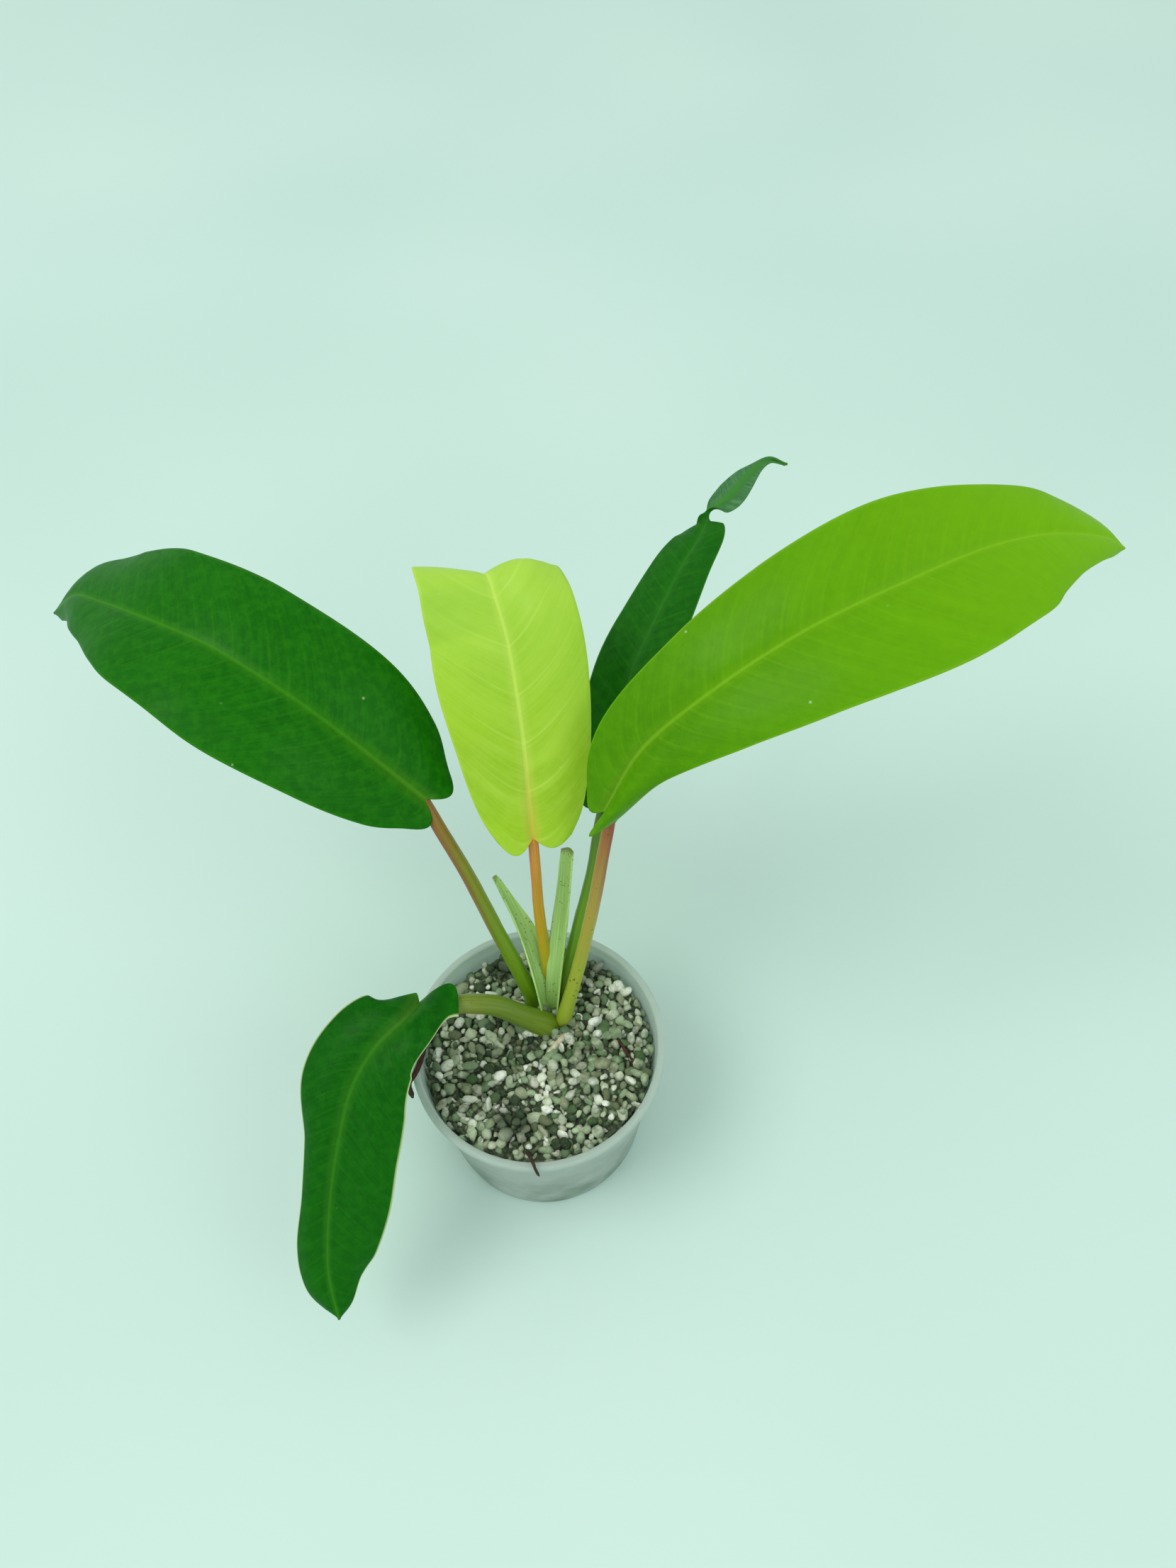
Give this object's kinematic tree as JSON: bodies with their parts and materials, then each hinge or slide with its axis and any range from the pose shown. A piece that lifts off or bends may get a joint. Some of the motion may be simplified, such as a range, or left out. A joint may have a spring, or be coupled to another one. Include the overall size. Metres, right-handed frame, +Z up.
{
  "type": "potted philodendron",
  "caption": "Young philodendron with long glossy leaves on slender stalks, rooted in pumice gravel in a tapered translucent plastic nursery pot.",
  "frame": {"origin": "centre of the pot's flat underside, on the surface it stands on", "axes": "+Z up out of the pot, +X along the longest spread of the leaves, from the dark left leaf to the lime right leaf, +Y to the back, away from the drooping front leaf"},
  "size_m": [0.3835, 0.2886, 0.2585],
  "materials": {
    "pot_plastic": "satin",
    "pumice": "matte",
    "leaf_dark": "satin",
    "leaf_lime": "satin",
    "leaf_young": "satin",
    "stalk_green": "satin",
    "stalk_ochre": "satin",
    "sheath_pale": "matte",
    "root_brown": "matte",
    "root_pale": "matte"
  },
  "bodies": {
    "root": {"pot": "pot_plastic", "gravel_bed": "pumice", "stem_and_buried_roots": "root_brown", "blade_left": "leaf_dark", "blade_centre": "leaf_young", "blade_back": "leaf_dark", "blade_right": "leaf_lime", "blade_front": "leaf_dark", "petiole_left": "stalk_green", "petiole_centre": "stalk_ochre", "petiole_back": "stalk_green", "petiole_right": "stalk_ochre", "petiole_front": "stalk_green", "sheath_left": "sheath_pale", "sheath_right": "sheath_pale", "aerial_root": "root_brown", "rim_rootlet": "root_brown", "loose_rootlet": "root_brown", "young_root": "root_pale", "stone_01": "pumice", "stone_02": "pumice", "stone_03": "pumice", "stone_04": "pumice", "stone_05": "pumice", "stone_06": "pumice", "stone_07": "pumice", "stone_08": "pumice", "stone_09": "pumice", "stone_10": "pumice", "stone_11": "pumice", "stone_12": "pumice", "stone_13": "pumice", "stone_14": "pumice", "stone_15": "pumice", "stone_16": "pumice", "stone_17": "pumice", "stone_18": "pumice", "stone_19": "pumice", "stone_20": "pumice", "stone_21": "pumice", "stone_22": "pumice", "stone_23": "pumice"}
  },
  "joints": []
}
